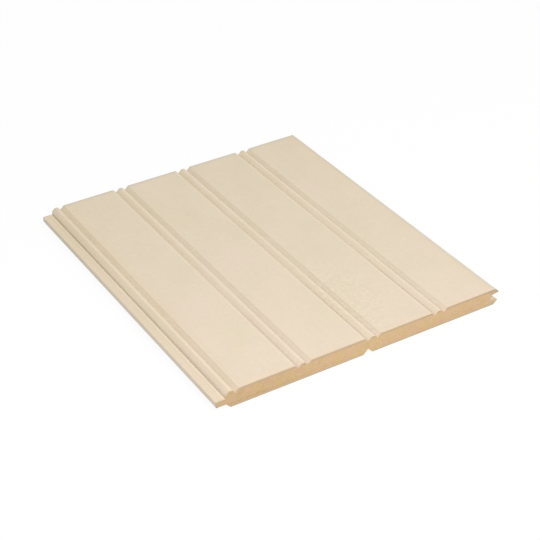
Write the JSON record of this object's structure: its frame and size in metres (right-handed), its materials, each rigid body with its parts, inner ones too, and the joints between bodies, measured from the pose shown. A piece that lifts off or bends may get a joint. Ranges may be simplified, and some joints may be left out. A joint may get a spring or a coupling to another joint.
{
  "type": "beadboard panel",
  "caption": "Flat tongue and groove wall plank with beads on its primed face and V grooves on its back, cut to a short length.",
  "frame": {"origin": "on the back face, under the middle of the plank's outline, tongue included", "axes": "+Y along the plank, +Z out of the beaded face, -X towards the tongue and +X towards the groove"},
  "size_m": [0.1704, 0.2, 0.0095],
  "materials": {
    "primed_board": "cream primer on the long faces, bare fibreboard on the two cut ends"
  },
  "bodies": {
    "root": {"beadboard_panel": "primed_board"}
  },
  "joints": []
}
